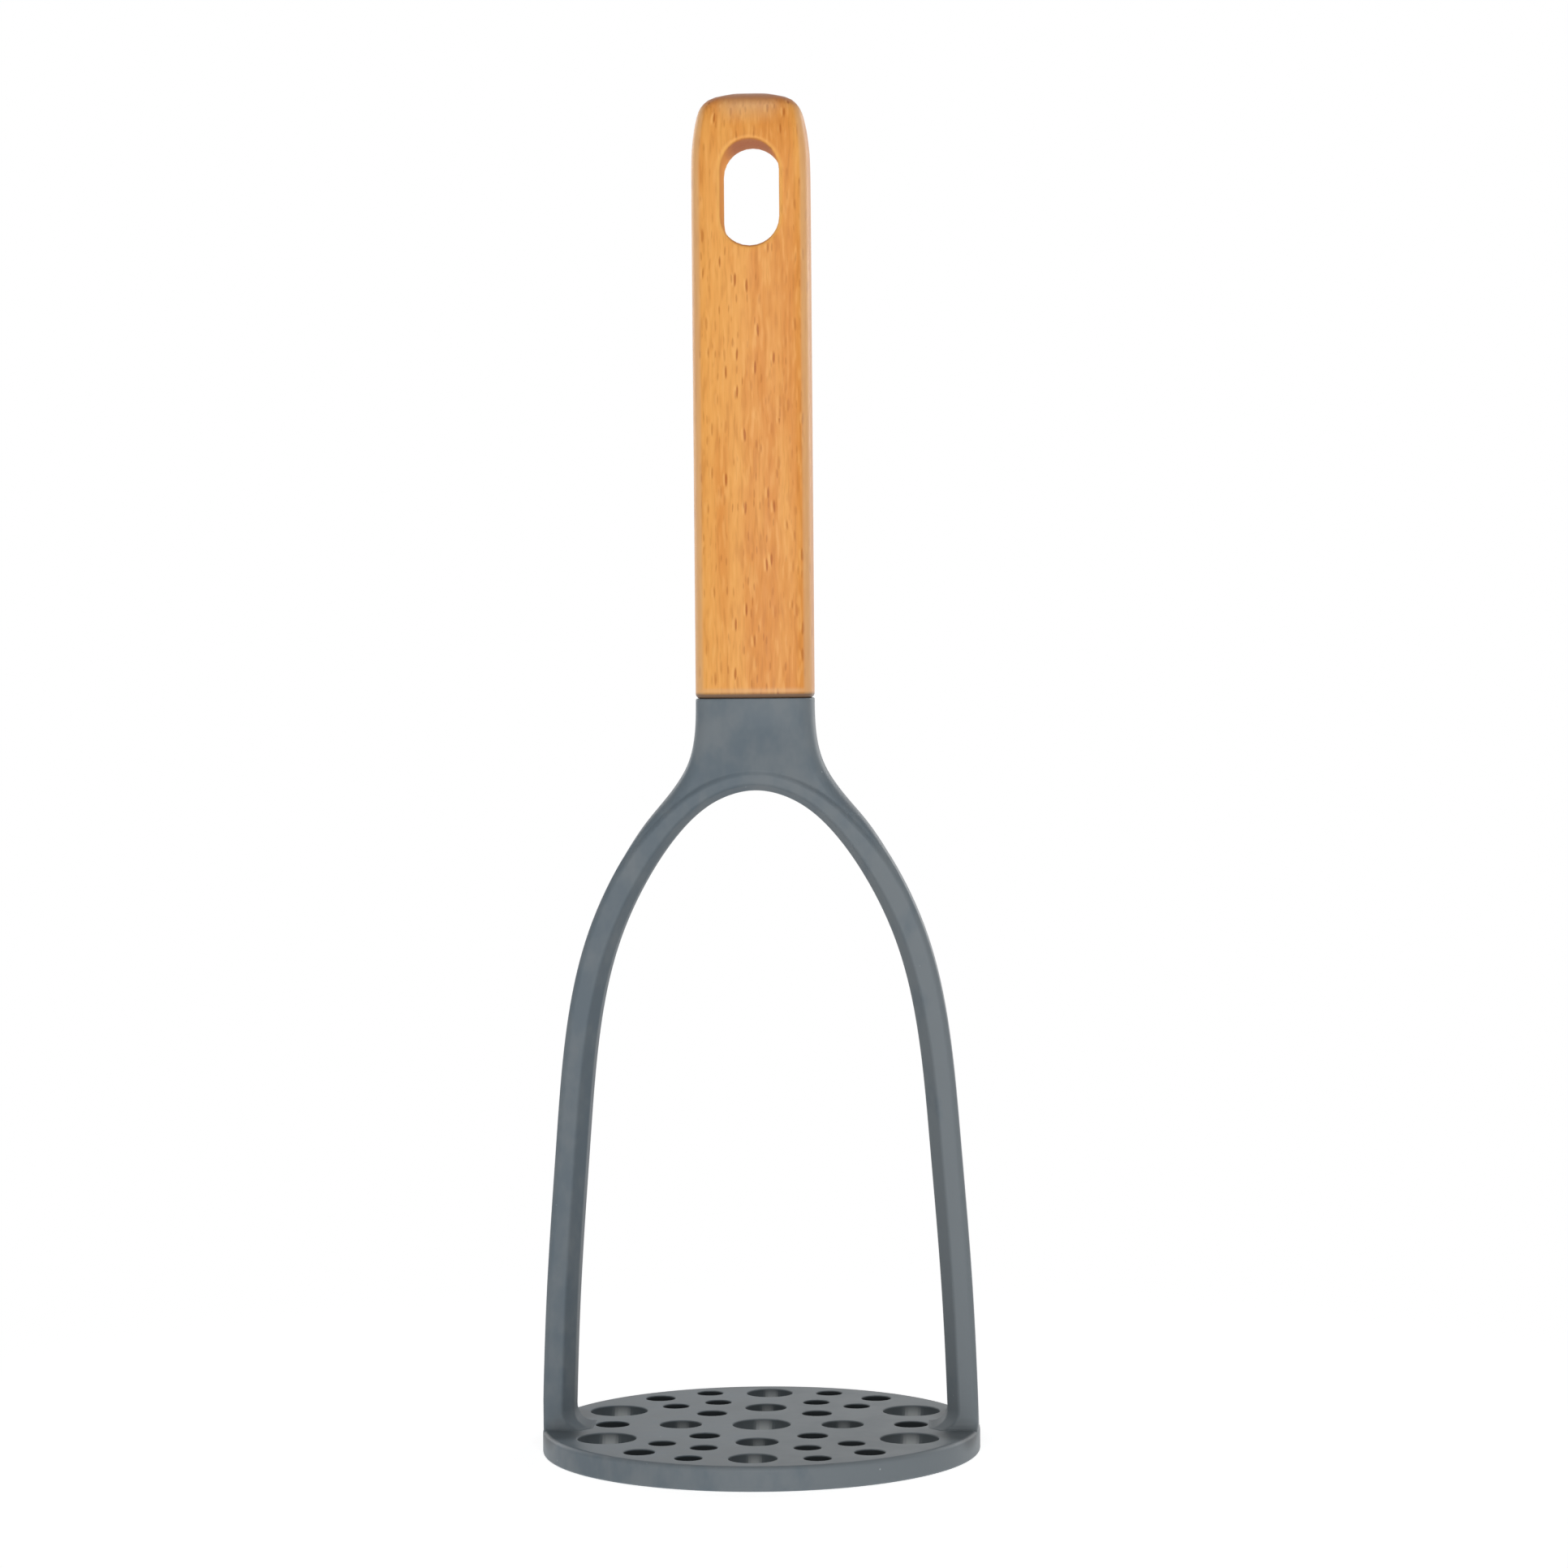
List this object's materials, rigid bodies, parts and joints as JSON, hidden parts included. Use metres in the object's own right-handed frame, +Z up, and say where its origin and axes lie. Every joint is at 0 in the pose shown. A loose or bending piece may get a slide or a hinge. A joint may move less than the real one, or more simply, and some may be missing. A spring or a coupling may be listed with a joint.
{
  "type": "potato masher",
  "caption": "Potato masher with a round perforated mashing plate on a tall arched nylon frame and a flat beech handle with a hang slot.",
  "frame": {"origin": "middle of the mashing plate's underside", "axes": "+Z up along the handle, X across the two legs, Y through the hang slot"},
  "size_m": [0.09, 0.09, 0.2775],
  "materials": {
    "beech": "oiled beech with fine dark flecks, satin",
    "nylon": "moulded slate grey nylon, satin",
    "adhesive": "cured amber adhesive"
  },
  "bodies": {
    "root": {"beech_handle": "beech", "masher_head": "nylon", "tang_bond": "adhesive"}
  },
  "joints": []
}
